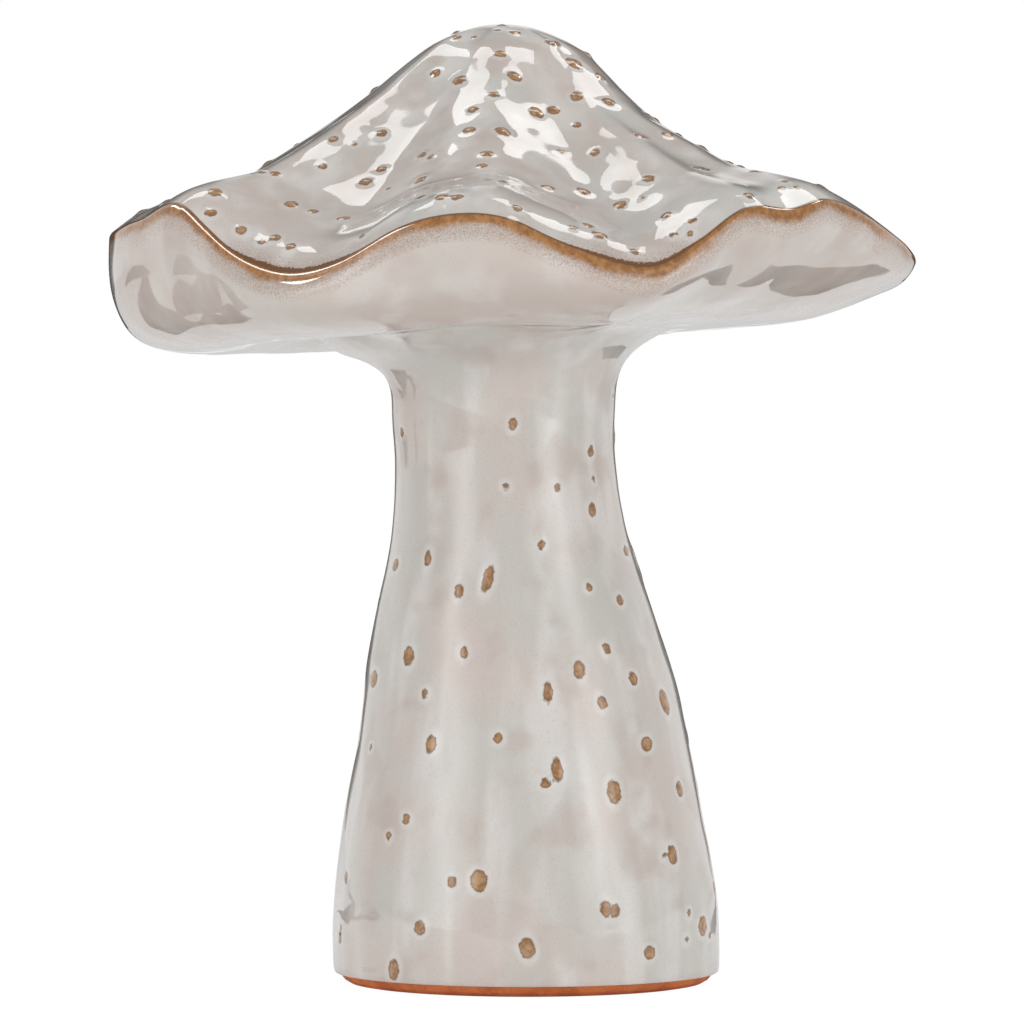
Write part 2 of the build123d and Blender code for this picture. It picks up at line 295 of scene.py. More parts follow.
def rounded(shell, levels):
    """Subdivides the shell into a smooth surface, for good."""
    in_fixed_order(shell)
    bpy.ops.object.select_all(action='DESELECT')
    bpy.context.view_layer.objects.active = shell
    shell.select_set(True)
    bpy.ops.object.modifier_add(type='SUBSURF')
    smoother = shell.modifiers[-1]
    smoother.levels = smoother.render_levels = levels
    bpy.ops.object.modifier_apply(modifier=smoother.name)
    bpy.ops.object.shade_smooth()
    print(shell.name, "has", len(shell.data.polygons), "faces")


# %% [markdown]
# ## The crown of the cap
# The upper side runs from the peak down to the lip. A wavy rim needs many points round it, and
# fewer from peak to rim. The hole that is left at the peak gets a face, which is poked to a fan of
# triangles, and the middle point goes up to the full height.

# %% Crown
columns, crown_rings = 120, 42
smooth_levels = 2
hairs_breadth = 0.01 * mm
bearings = [360 * step / columns for step in range(columns)]
crown = grown_shell("glaze_crown", [crown_line(bearing, crown_rings) + lip_line(bearing)[1:]
                                    for bearing in bearings])

bpy.ops.object.mode_set(mode='EDIT')
bpy.ops.mesh.select_all(action='DESELECT')
bpy.ops.object.mode_set(mode='OBJECT')
top_ring = max(vertex.co.z for vertex in crown.data.vertices) - hairs_breadth
for vertex in crown.data.vertices:
    vertex.select = vertex.co.z > top_ring
bpy.ops.object.mode_set(mode='EDIT')
bpy.ops.mesh.edge_face_add()
bpy.ops.mesh.poke()
bpy.ops.mesh.select_all(action='SELECT')
bpy.ops.mesh.normals_make_consistent(inside=False)
bpy.ops.object.mode_set(mode='OBJECT')
middle = min(crown.data.vertices, key=lambda v: hypot(v.co.x + peak_lean * mm, v.co.y))
middle.co.z = peak_height * mm
rounded(crown, smooth_levels)

# %% [markdown]
# ## The underside and the stem
# The belly of the cap, the funnel of the neck and the stem flow into each other without an edge, so
# they are one shell. It starts where the crown ends, at the widest line of the lip, and stops a
# little above the ground with a small rounded edge, as thick as the glaze, that turns in to the
# clay. The foot below it stays bare, as a glazed foot would stick to the kiln's shelf.

# %% Underside and stem
pan_rings, stem_rings = 25, 21
edge_in, edge_down = 0.25, 0.1
glaze_end_turn = degrees(asin(1 - bare_foot_height / foot_round))
foot_edge = foot_line((0.5 * glaze_end_turn, glaze_end_turn))
end_reach, _, end_height = foot_edge[-1]
glaze_edge = [(end_reach - edge_in, 0, end_height - edge_down),
              (end_reach - glaze_thickness, 0, end_height)]
below_joint = stem_line(stem_rings)[1:] + foot_edge + glaze_edge
body = grown_shell("glaze_body", [pan_line(bearing, pan_rings) + below_joint
                                  for bearing in bearings])
bpy.ops.object.mode_set(mode='EDIT')
bpy.ops.mesh.select_all(action='SELECT')
bpy.ops.mesh.normals_make_consistent(inside=False)
bpy.ops.object.mode_set(mode='OBJECT')
rounded(body, smooth_levels)

# %% [markdown]
# ## Marks that the finish follows
# Glaze runs thin over an edge and lies thick in a hollow. To know where the edge is, each point of
# the skin keeps its distance from the line where the lip begins, and how far the rim dips at its
# bearing. These go into the mesh as attributes, which a material can read. A texture painted by
# hand would do it too, but would have to be painted again whenever the rim's waves change.

# %% Helpers to read a shell's points and to keep marks on them


def add_marks(shell, name, values):
    """Keeps one number for each point of the shell, under a name."""
    marks = shell.data.attributes.new(name, 'FLOAT', 'POINT')
    marks.data.foreach_set("value", np.asarray(values, dtype=np.float32))


def places_of(shell):
    """The shell's points as an array, in millimetres."""
    flat = np.empty(len(shell.data.vertices) * 3, dtype=np.float32)
    shell.data.vertices.foreach_get("co", flat)
    return flat.reshape(-1, 3).astype(float) / mm


def normals_of(shell):
    """The shell's outward directions at its points, as an array."""
    flat = np.empty(len(shell.data.vertices) * 3, dtype=np.float32)
    shell.data.vertex_normals.foreach_get("vector", flat)
    return flat.reshape(-1, 3).astype(float)


print("points of the crown:", len(places_of(crown)))

# %% Distance from the lip, for every point of a shell
round_steps = 720
rim_heights = rim_height + ruffle_height * np.array(
    [ruffle_share(360 * step / round_steps) for step in range(round_steps)])
rim_shares = (rim_heights - rim_height) / ruffle_height


def rim_values(table, bearings):
    """Values of a table round the rim at bearings in degrees."""
    spots = (bearings % 360) / 360 * round_steps
    return np.interp(spots, np.arange(round_steps + 1), np.append(table, table[0]))


def bearings_of(places):
    """Bearings round the cap's axis, in degrees."""
    return np.degrees(np.arctan2(places[:, 0] + cap_lean, -places[:, 1]))


lip_turn_start = radians(lip_turns[0])
lip_start_reach = cap_radius - lip_radius * (1 - sin(lip_turn_start))
lip_start_drop = lip_radius * (1 - cos(lip_turn_start))


def lip_distances(places, side):
    """Distance in mm from the line where the lip begins: above zero on the crown, else below."""
    bearings = bearings_of(places)
    reach = np.hypot(places[:, 0] + cap_lean, places[:, 1])
    start = rim_values(rim_heights, bearings) - lip_start_drop
    distance = np.hypot(reach - lip_start_reach, places[:, 2] - start)
    outside = (reach > lip_start_reach) | (side < 0)
    return np.where(outside, -distance, distance)


for shell, side in ((crown, 1), (body, -1)):
    places = places_of(shell)
    add_marks(shell, "lip_distance", lip_distances(places, side))
    add_marks(shell, "rim_trough", -rim_values(rim_shares, bearings_of(places)))
    print(shell.name, "keeps its distance from the lip")

# %% [markdown]
# ## Specks
# The brown specks are small lumps in the clay. The glaze slides off their tops, so they show brown,
# and they stand up a little, which is why the highlights bend round them. On the side that the
# picture shows, each speck goes to its listed point of the picture: a ray from the camera through
# that point finds its place on the skin. The other sides get specks at random, about
# as many for their size, with a fixed seed so that they never change.

# %% Specks seen on the stem: column, row, width and height in the picture
stem_specks = [
    (513, 424, 9, 12), (402, 432, 4, 9), (591, 451, 6, 12), (506, 487, 7, 8), (557, 488, 7, 9),
    (594, 479, 3, 7), (592, 510, 8, 15), (542, 543, 7, 7), (540, 548, 6, 6), (428, 558, 7, 16),
    (395, 565, 6, 13), (626, 551, 5, 11), (488, 579, 11, 27), (459, 591, 9, 14), (589, 587, 7, 9),
    (620, 600, 8, 11), (612, 395, 3, 4), (606, 649, 8, 12), (464, 652, 9, 12), (409, 656, 11, 20),
    (579, 670, 12, 18), (632, 679, 9, 14), (374, 679, 7, 17), (425, 694, 7, 10), (548, 693, 10, 21),
    (602, 703, 10, 14), (664, 702, 9, 26), (498, 738, 10, 11), (431, 744, 11, 18), (371, 747, 3, 8),
    (646, 744, 12, 15), (557, 770, 12, 24), (545, 783, 11, 10), (614, 792, 14, 24),
    (679, 789, 7, 16), (407, 819, 8, 11), (389, 836, 6, 8), (672, 855, 9, 20), (664, 857, 5, 7),
    (346, 877, 5, 12), (452, 882, 10, 12), (479, 881, 18, 22), (714, 888, 5, 15),
    (606, 909, 11, 18), (615, 911, 10, 14), (689, 913, 4, 9), (420, 928, 12, 15),
    (702, 926, 8, 20), (687, 940, 5, 7),
    (709, 935, 3, 8), (339, 938, 5, 12), (527, 948, 16, 22), (649, 953, 12, 14), (394, 970, 11, 22)]

# %% Specks seen on the cap: column, row and width in the picture
cap_specks = [
    (502, 26, 8), (498, 30, 5), (515, 33, 10), (457, 38, 8), (474, 37, 4), (553, 43, 14),
    (500, 55, 11), (588, 55, 9), (573, 64, 14), (436, 74, 10), (460, 81, 14), (514, 78, 13),
    (599, 78, 11), (494, 97, 10), (577, 96, 13), (608, 103, 12), (473, 111, 10), (553, 110, 12),
    (536, 113, 14), (648, 116, 8), (577, 124, 8), (469, 131, 12), (502, 134, 13), (334, 141, 9),
    (382, 135, 10), (640, 137, 12), (667, 135, 10), (355, 147, 5), (487, 155, 13), (422, 155, 8),
    (431, 157, 8), (595, 152, 9), (561, 152, 8), (323, 168, 9), (382, 170, 9), (482, 167, 10),
    (698, 168, 10), (706, 170, 8), (753, 172, 9), (275, 174, 10), (261, 173, 8), (366, 183, 12),
    (388, 189, 5), (421, 181, 10), (503, 184, 10), (548, 188, 12), (583, 192, 12), (649, 181, 12),
    (784, 182, 8), (781, 189, 9), (797, 188, 7), (749, 196, 9), (215, 193, 14), (421, 198, 10),
    (442, 198, 12), (457, 198, 12), (642, 200, 6), (291, 205, 13), (620, 207, 13), (517, 209, 10),
    (211, 214, 12), (313, 213, 10), (344, 220, 12), (667, 216, 10), (692, 222, 9), (573, 228, 9),
    (588, 226, 10), (599, 236, 13), (241, 231, 11), (673, 236, 9), (690, 235, 8), (362, 236, 7),
    (275, 239, 12), (262, 243, 8), (291, 248, 10), (634, 253, 9)]
print("specks in the picture:", len(stem_specks) + len(cap_specks))

# %% Find the place of each speck on the skin
seed = random.Random(11)
level_limit, speck_turn = 0.2, 0.25
narrowest_view, widest_share = 0.35, 1.3
cap_speck_growth, cap_speck_stretch = 1.08, (0.85, 1.2)


def tree_of(shell):
    """The shell's faces, ready for rays to be cast at them."""
    data = shell.data
    return BVHTree.FromPolygons([v.co for v in data.vertices], [p.vertices for p in data.polygons])


def speck_at(place, normal, across, along):
    """A speck: its middle, its two directions on the surface and half its size both ways, in mm."""
    sideways = Vector((0, 0, 1)).cross(normal)
    if sideways.length < level_limit:
        sideways = Vector((1, 0, 0))
    sideways.normalize()
    turn = seed.uniform(-speck_turn, speck_turn)
    up = normal.cross(sideways).normalized()
    first = sideways * cos(turn) + up * sin(turn)
    return (place / mm, first, normal.cross(first), across / 2, along / 2)


def seen_specks(shell, marks):
    """Specks at points of the picture, for those whose ray meets the shell."""
    tree, found = tree_of(shell), []
    for column, row, width, *height in marks:
        way = way_to(column, row)
        place, normal, face, distance = tree.ray_cast(camera_place, way)
        if place is None:
            place, normal, face, distance = tree.find_nearest(
                camera_place + way * (camera_distance * mm))
        pixel = (place.y - camera_place.y) / focal_pixels / mm
        level = hypot(normal.x, normal.y)
        across = width * pixel / max(narrowest_view, level and abs(normal.y) / level)
        tall = height[0] if height else width
        stretch = 1 if height else seed.uniform(*cap_speck_stretch)
        along = tall * pixel * stretch
        found.append(speck_at(place, normal, min(across, widest_share * along), along))
    return found


crown_specks = seen_specks(
    crown, [(column, row, cap_speck_growth * width) for column, row, width in cap_specks])
body_specks = seen_specks(body, stem_specks)
print("specks placed by eye:", len(crown_specks), "on the cap,", len(body_specks), "on the stem")

# %% Scatter specks where the picture doesn't show
grazing_share, speck_gap = 0.03, 3.2


def scattered_specks(shell, found, area_each, allowed, size):
    """More specks at random places of the shell, one for each area in square mm."""
    tree = tree_of(shell)
    faces = [face for face in shell.data.polygons if allowed(face.center / mm)]
    sums = list(accumulate(face.area for face in faces))
    taken = [speck[0] for speck in found]
    made = []
    for _ in range(int(sums[-1] / mm**2 / area_each)):
        face = faces[bisect(sums, seed.random() * sums[-1])]
        place, normal = face.center.copy(), face.normal.copy()
        sight = camera_place - place
        seen = normal.dot(sight) > grazing_share * sight.length
        if seen and tree.ray_cast(place + normal * mm, sight.normalized())[0] is None:
            continue
        if all((place / mm - other).length > speck_gap for other in taken):
            across, along = size()
            made.append(speck_at(place, normal, across, along))
            taken.append(place / mm)
    return made


# %% Sizes of the scattered specks: least, most and usual width, in mm
cap_speck_widths, stem_speck_widths = (1.3, 3.2, 2.2), (1.0, 3.2, 1.8)
stem_speck_stretch = (1.1, 2.2)
cap_area_each, stem_area_each = 95, 190
plain_lip, lowest_speck, highest_speck = 5, 4, 114


def cap_speck_size():
    """Width and length of one speck on the cap, in mm. It is round."""
    across = seed.triangular(*cap_speck_widths)
    return across, across


def stem_speck_size():
    """Width and length of one speck on the stem, in mm. It is drawn out downwards."""
    across = seed.triangular(*stem_speck_widths)
    return across, across * seed.uniform(*stem_speck_stretch)


crown_specks += scattered_specks(
    crown, crown_specks, cap_area_each,
    lambda place: hypot(place.x + cap_lean, place.y) < cap_radius - plain_lip, cap_speck_size)
body_specks += scattered_specks(
    body, body_specks, stem_area_each,
    lambda place: lowest_speck < place.z < highest_speck, stem_speck_size)
print("specks in all:", len(crown_specks), "on the cap,", len(body_specks), "on the stem")

# %% [markdown]
# ## Uneven by hand
# A hand-finished piece is never quite smooth. The skin gets shallow lumps, longer ones that run
# down the stem, a few that were pressed into the cap, where its highlights bend, and a small dome
# under each speck. All of it moves the points along their normals by less than a millimetre. The
# distance to the edge of the nearest speck is kept for the glaze.

# %% Shallow lumps all over, and runs down the stem
broad_size, small_size, run_width, run_length = 16, 7, 9, 70
broad_height, small_height, run_height = 0.40, 0.09, 0.22
small_shift, run_shift = 40, 20
runs_start, runs_fade, stem_calm = 128, 8, 0.12


def lumps(place):
    """Height of the shallow unevenness at a place, in mm."""
    x, y, z = place
    broad = noise.noise(Vector((x / broad_size, y / broad_size, z / broad_size)))
    small = noise.noise(Vector((x / small_size + small_shift, y / small_size, z / small_size)))
    runs = noise.noise(Vector((x / run_width, y / run_width + run_shift, z / run_length)))
    on_stem = min(1, max(0, (runs_start - z) / runs_fade))
    return ((broad_height - stem_calm * on_stem) * broad + small_height * small
            + run_height * on_stem * runs)


# %% Pressed lumps on the cap: both ends in the picture, radius and height in mm
cap_lumps = [((350, 158), (356, 150), 10, 0.6), ((500, 90), (492, 195), 8, 0.45),
             ((570, 95), (602, 195), 9, -0.4), ((628, 184), (638, 194), 8, 0.45)]


def pressed_lumps():
    """The cap's broad lumps on the skin: both ends, radius and height in mm."""
    tree = tree_of(crown)
    return [([tree.ray_cast(camera_place, way_to(*spot))[0] / mm for spot in ends], radius, height)
            for *ends, radius, height in cap_lumps]


def pressed_height(places):
    """Height of the cap's broad lumps at each place."""
    raised = np.zeros(len(places))
    for (start, end), radius, height in pressed:
        along = np.array(end - start)
        share = np.clip((places - np.array(start)) @ along / max(along @ along, 1e-6), 0, 1)
        off = np.linalg.norm(places - np.array(start) - share[:, None] * along, axis=1) / radius
        raised += height * np.clip(1 - off**2, 0, 1)**2
    return raised


pressed = pressed_lumps()
print("pressed lumps on the cap:", len(pressed))

# %% Domes under the specks
far_outside, dome_reach, full_dome_size = -3.0, 3, 1.2
dome_fall, dome_power = 1.1, 1.6


def speck_marks(places, specks, dome):
    """For each point, how far it is inside the nearest speck, and the height of the domes there."""
    inside, raised = np.full(len(places), far_outside), np.zeros(len(places))
    tree = KDTree(len(places))
    for index, place in enumerate(places):
        tree.insert(place, index)
    tree.balance()
    for middle, first, second, across, along in specks:
        size = min(across, along)
        for place, index, far in tree.find_range(middle, max(across, along) * dome_reach):
            off = place - middle
            ratio = hypot(off.dot(first) / across, off.dot(second) / along)
            inside[index] = max(inside[index], (1 - ratio) * size)
            height = dome * min(1, size / full_dome_size)
            raised[index] += height * exp(-dome_fall * ratio**dome_power)
    return inside, raised


# %% The seam between the shells


def seam_partners():
    """Pairs of points, one of the crown and one of the body, that lie on the same place."""
    tree = KDTree(len(body.data.vertices))
    for vertex in body.data.vertices:
        tree.insert(vertex.co, vertex.index)
    tree.balance()
    near = [(vertex.index, *tree.find(vertex.co)[1:]) for vertex in crown.data.vertices
            if hypot(vertex.co.x, vertex.co.y) > (cap_radius - 2 * cap_lean) * mm]
    return np.array([(one, other) for one, other, far in near if far < hairs_breadth])


partners = seam_partners()


def matched_normals():
    """Normals of both shells, made alike along the seam between them."""
    on_crown, on_body = normals_of(crown), normals_of(body)
    shared = on_crown[partners[:, 0]] + on_body[partners[:, 1]]
    shared /= np.linalg.norm(shared, axis=1)[:, None]
    on_crown[partners[:, 0]] = on_body[partners[:, 1]] = shared
    return on_crown, on_body


print("points shared along the lip:", len(partners))

# %% Move the skin to its final shape
edge_fade_height = 3
cap_dome, stem_dome = 0.55, 0.35


def shaped_skin(shell, normals, specks, dome):
    """Moves the shell's points to their final places and keeps the distance inside each speck."""
    places = places_of(shell)
    inside, raised = speck_marks(places, specks, dome)
    raised += [lumps(place) for place in places] + pressed_height(places)
    edge_fade = np.clip((places[:, 2] - bare_foot_height) / edge_fade_height, 0, 1)
    moved = places + normals * (raised * edge_fade)[:, None]
    shell.data.vertices.foreach_set("co", (moved * mm).astype(np.float32).ravel())
    shell.data.update()
    add_marks(shell, "speck_inside", inside)
    print(shell.name, "raised by up to", round(float(raised.max()), 2), "mm")


crown_normals, body_normals = matched_normals()
shaped_skin(crown, crown_normals, crown_specks, cap_dome)
shaped_skin(body, body_normals, body_specks, stem_dome)
for shell, normals in zip((crown, body), matched_normals()):
    shell.data.normals_split_custom_set_from_vertices(normals)

for shell in (crown, body):
    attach(shell, "root")
    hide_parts("glaze_coat")

# %% [markdown]
# ## Node helpers
# The finishes are built from small node groups, each with named inputs and outputs, so that one
# effect can be tuned or reused on its own. These helpers add a node and wire it in one line.

# %% Helpers for nodes


def node(tree, kind, **settings):
    """Adds a node. Settings that are socket names are values or wires, others are properties."""
    made = tree.nodes.new(kind)
    for name, value in settings.items():
        if hasattr(made, name):
            setattr(made, name, value)
    for name, value in settings.items():
        if not hasattr(made, name):
            plug(tree, made.inputs[name.replace("_", " ")], value)
    return made


def plug(tree, socket, value):
    """Wires a socket to another one, or gives it a value."""
    if isinstance(value, bpy.types.NodeSocket):
        tree.links.new(value, socket)
    else:
        socket.default_value = value


def maths(tree, operation, first, second=0.0, third=0.0):
    """A maths node and its result."""
    made = tree.nodes.new('ShaderNodeMath')
    made.operation = operation
    for socket, value in zip(made.inputs, (first, second, third)):
        plug(tree, socket, value)
    return made.outputs[0]


def times(tree, first, second):
    """The product of two values."""
    return maths(tree, 'MULTIPLY', first, second)


def swing(tree, value, reach):
    """Turns a value between 0 and 1 into one between minus reach and reach."""
    return maths(tree, 'MULTIPLY_ADD', value, 2 * reach, -reach)


def ramp(tree, value, low, high, start=0.0, end=1.0):
    """Turns a value between low and high smoothly into one from start to end."""
    made = tree.nodes.new('ShaderNodeMapRange')
    made.interpolation_type = 'SMOOTHSTEP'
    for socket, given in zip(made.inputs, (value, low, high, start, end)):
        plug(tree, socket, given)
    return made.outputs[0]


def colour_mix(tree, share, first, second):
    """A mix of two colours."""
    made = tree.nodes.new('ShaderNodeMix')
    made.data_type = 'RGBA'
    plug(tree, made.inputs[0], share)
    plug(tree, made.inputs[6], first)
    plug(tree, made.inputs[7], second)
    return made.outputs[2]


def tinted(tree, under, mask, strength, tint):
    """A colour with a tint over it where a mask is, up to a strength."""
    return colour_mix(tree, times(tree, mask, strength), under, tint)


def grain(tree, place, size, detail=2.0, stretch=(1, 1, 1)):
    """Noise with features of about a size in mm, stretched by shares along the axes."""
    turned = tree.nodes.new('ShaderNodeMapping')
    plug(tree, turned.inputs["Vector"], place)
    turned.inputs["Scale"].default_value = [share / (size * mm) for share in stretch]
    made = tree.nodes.new('ShaderNodeTexNoise')
    made.inputs["Scale"].default_value = 1
    made.inputs["Detail"].default_value = detail
    plug(tree, made.inputs["Vector"], turned.outputs[0])
    return made.outputs["Fac"]


def group(name, inputs, outputs):
    """An empty node group with named sockets. Returns it with its input and output nodes."""
    made = bpy.data.node_groups.new(name, 'ShaderNodeTree')
    for direction, sockets in (('INPUT', inputs), ('OUTPUT', outputs)):
        for socket_name, kind in sockets:
            made.interface.new_socket(socket_name, in_out=direction,
                                      socket_type='NodeSocket' + kind)
    return made, made.nodes.new('NodeGroupInput').outputs, made.nodes.new('NodeGroupOutput').inputs


def use(tree, made, **values):
    """Places a node group in a material and returns its outputs."""
    placed = tree.nodes.new('ShaderNodeGroup')
    placed.node_tree = made
    for name, value in values.items():
        plug(tree, placed.inputs[name.replace("_", " ")], value)
    return placed.outputs


def colour(red, green, blue):
    """A colour as an eye reads it on a screen, from 0 to 255, made linear for the shader."""
    shares = [part / 255 for part in (red, green, blue)]
    return [s / 12.92 if s <= 0.04045 else ((s + 0.055) / 1.055)**2.4 for s in shares] + [1]


print("a warm grey:", [round(part, 3) for part in colour(203, 197, 190)])

# %% [markdown]
# ## The glaze's own colour
# A reactive glaze is never one colour. It drifts between a cool grey with a hint of green, a
# pinkish beige and a pale cream, in soft clouds of one to three centimetres, with paler runs down
# the stem where it flowed, and a dust of tiny pigment grains. Layered noise at those sizes does
# this. Each layer is turned into a soft mask, and each mask lets one more colour through.

# %% Mottled glaze: sizes of its features in mm, and its colours
cloud_size, drift_size, run_size, dust_size = 24, 11, 9, 0.45
run_stretch = (1, 1, 0.16)
pinkish_beige, cool_grey = colour(205, 194, 187), colour(201, 198, 192)
pale_cream, rose_grey = colour(221, 217, 213), colour(192, 178, 170)
dust_grey = colour(160, 148, 140)

# %% Mottled glaze
mottle, given, result = group("mottled_glaze", [("Place", 'Vector')], [("Color", 'Color')])
clouds = ramp(mottle, grain(mottle, given["Place"], cloud_size, 3), 0.38, 0.62)
drift = ramp(mottle, grain(mottle, given["Place"], drift_size, 2), 0.50, 0.70)
runs = ramp(mottle, grain(mottle, given["Place"], run_size, 2, run_stretch), 0.45, 0.68)
dust = ramp(mottle, grain(mottle, given["Place"], dust_size, 1), 0.50, 0.75)
clouded = colour_mix(mottle, clouds, pinkish_beige, cool_grey)
paler = tinted(mottle, clouded, runs, 0.75, pale_cream)
pinker = tinted(mottle, paler, drift, 0.6, rose_grey)
plug(mottle, result["Color"], tinted(mottle, pinker, dust, 0.16, dust_grey))
print(mottle.name, "has", len(mottle.nodes), "nodes")

# %% [markdown]
# ## Where the glaze breaks on the rim
# On the sharp turn of the lip the glaze pulls away and the iron in the clay shows as a golden brown
# band, two to three millimetres wide and darkest on the edge itself. Its upper side is crisp on the
# crests and frayed in the troughs. Its lower side dissolves into fine specks. The distance from the
# lip, disturbed by noise, gives both. It counts up over the crown and down over the underside.

# %% Break on the rim: the brown band
rim_break, given, result = group(
    "rim_break", [("Place", 'Vector'), ("Distance", 'Float'), ("Trough", 'Float')],
    [("Brown", 'Float'), ("Dust", 'Float'), ("Deep", 'Float'), ("Blush", 'Float')])
wander_size, fray_size, fleck_size, blush_size = 9, 0.55, 0.26, 22
spot, distance = given["Place"], given["Distance"]
trough = ramp(rim_break, given["Trough"], 0.1, 0.9)

wander = swing(rim_break, grain(rim_break, spot, wander_size, 1), 1.2)
fray = swing(rim_break, grain(rim_break, spot, fray_size, 2), 2.0)
low_shift = maths(rim_break, 'MULTIPLY_ADD', fray, 0.45, wander)
low_side = ramp(rim_break, maths(rim_break, 'ADD', distance, low_shift), -3.1, -1.3)

top_reach = maths(rim_break, 'MULTIPLY_ADD', trough, 1.1, 0.35)
top_fray = times(rim_break, fray, maths(rim_break, 'MULTIPLY_ADD', trough, 0.40, 0.02))
frayed_distance = maths(rim_break, 'ADD', distance, top_fray)
past_top = maths(rim_break, 'SUBTRACT', frayed_distance, top_reach)
top_side = ramp(rim_break, past_top, -0.15, 0.25, 1, 0)
plug(rim_break, result["Brown"], times(rim_break, low_side, top_side))

core_distance = maths(rim_break, 'MULTIPLY_ADD', fray, 0.2, distance)
plug(rim_break, result["Deep"], ramp(rim_break, core_distance, -0.5, 0.3))
print("the brown band takes", len(rim_break.nodes), "nodes")

# %% [markdown]
# ## Rust dust and blush
# Iron also wanders into the glaze beside the band. Close by it makes fine flecks, under the lip and
# above it in the troughs. Further away it warms the grey to a pinkish blush, strongest on the outer
# part of the underside, and in clouds on the crown. The marks give the places, noise the grain.

# %% Break on the rim: dust and blush
under_lip = times(rim_break, ramp(rim_break, distance, -6.5, -2.2),
                  ramp(rim_break, distance, -2.0, 0.0, 1, 0))
over_lip = times(rim_break, trough, times(rim_break, ramp(rim_break, distance, 5.0, 1.0),
                                          ramp(rim_break, distance, 0.0, 1.0)))
near = maths(rim_break, 'MAXIMUM', under_lip, over_lip)
fleck_grain = grain(rim_break, spot, fleck_size, 1)
flecks = ramp(rim_break, maths(rim_break, 'MULTIPLY_ADD', near, 0.16, fleck_grain), 0.50, 0.74)
plug(rim_break, result["Dust"], times(rim_break, flecks, ramp(rim_break, near, 0.0, 0.2)))

under_blush = times(rim_break, ramp(rim_break, distance, -48, -14),
                    ramp(rim_break, distance, 0, -2))
crown_clouds = ramp(rim_break, grain(rim_break, spot, blush_size, 2), 0.40, 0.58)
crown_blush = times(rim_break, crown_clouds, ramp(rim_break, distance, 4, 22))
plug(rim_break, result["Blush"], maths(rim_break, 'MAXIMUM', under_blush, crown_blush))
print(rim_break.name, "has", len(rim_break.nodes), "nodes")

# %% [markdown]
# ## Where the glaze breaks over the specks
# The distance inside each speck, frayed a little, gives three masks: one with a crisp edge for the
# brown, one for the thin darker line round it, and one for the pale ring outside, where the glaze
# that slid off the speck lies thicker.

# %% Break over the specks
speck_break, given, result = group(
    "speck_break", [("Place", 'Vector'), ("Inside", 'Float')],
    [("Brown", 'Float'), ("Deep", 'Float'), ("Halo", 'Float')])
speck_fray_size = 1.1
fray = swing(speck_break, grain(speck_break, given["Place"], speck_fray_size, 2), 0.45)
inside = maths(speck_break, 'ADD', given["Inside"], fray)
plug(speck_break, result["Brown"], ramp(speck_break, inside, -0.22, 0.18))
plug(speck_break, result["Deep"], ramp(speck_break, inside, 0.45, -0.05))
plug(speck_break, result["Halo"], ramp(speck_break, inside, -1.6, -0.3))
print(speck_break.name, "has", len(speck_break.nodes), "nodes")

# %% [markdown]
# ## The speckled glaze
# The effects go over each other: mottled glaze, the pale rings round the specks, the blush, the
# dust and the brown of the rim, then the specks themselves. The glaze is glass, so the surface is
# nearly a mirror with a faint ripple. What doesn't change over the surface, such as the index of
# refraction, is set on the shader itself.

# %% Helpers for materials


def finish_of(name):
    """A new material with its nodes, its shader and the place on the object."""
    made = bpy.data.materials.new(name)
    made.use_nodes = True
    tree = made.node_tree
    shader = tree.nodes["Principled BSDF"]
    place = tree.nodes.new('ShaderNodeTexCoord').outputs["Object"]
    return made, tree, shader, place


def mark(tree, name):
    """The value that the mesh keeps under a name."""
    made = tree.nodes.new('ShaderNodeAttribute')
    made.attribute_name = name
    return made.outputs["Fac"]


print("marks on the skin:", [marks.name for marks in crown.data.attributes
                             if marks.data_type == 'FLOAT'])

# %% Glaze material: colours where it is thick, and where the iron shows
thick_glaze, blush_pink = colour(220, 217, 213), colour(194, 178, 168)
rust_dust = colour(152, 120, 98)
rim_gold, rim_umber, rim_core = colour(172, 122, 72), colour(142, 96, 54), colour(112, 72, 38)
speck_tan, speck_umber = colour(180, 142, 104), colour(146, 106, 68)
speck_edge = colour(116, 82, 50)
iron_size, ripple_size, ripple_depth = 1.3, 2.2, 0.02

# %% Glaze material
glaze, tree, shader, place = finish_of("speckled_glaze")
skin = use(tree, mottle, Place=place)["Color"]
rim = use(tree, rim_break, Place=place, Distance=mark(tree, "lip_distance"),
          Trough=mark(tree, "rim_trough"))
specks = use(tree, speck_break, Place=place, Inside=mark(tree, "speck_inside"))
haloed = tinted(tree, skin, specks["Halo"], 0.5, thick_glaze)
blushed = tinted(tree, haloed, rim["Blush"], 0.4, blush_pink)
dusted = tinted(tree, blushed, rim["Dust"], 0.5, rust_dust)
iron = ramp(tree, grain(tree, place, iron_size, 3), 0.35, 0.65)
rim_body = colour_mix(tree, iron, rim_gold, rim_umber)
rim_brown = colour_mix(tree, rim["Deep"], rim_body, rim_core)
rimmed = colour_mix(tree, rim["Brown"], dusted, rim_brown)
speck_body = colour_mix(tree, iron, speck_tan, speck_umber)
speck_brown = colour_mix(tree, specks["Deep"], speck_body, speck_edge)
plug(tree, shader.inputs["Base Color"], colour_mix(tree, specks["Brown"], rimmed, speck_brown))

# %% Gloss and ripple of the glaze
ripple = grain(tree, place, ripple_size, 2)
bump = node(tree, 'ShaderNodeBump', Height=ripple, Strength=0.25, Distance=ripple_depth * mm)
plug(tree, shader.inputs["Normal"], bump.outputs["Normal"])
shader.inputs["Roughness"].default_value = 0.05
shader.inputs["IOR"].default_value = 1.6
shader.inputs["Coat Weight"].default_value = 0.45
shader.inputs["Coat Roughness"].default_value = 0.03
for shell in (crown, body):
    shell.data.materials.clear()
    shell.data.materials.append(glaze)
print("the glaze is on", crown.name, "and", body.name)

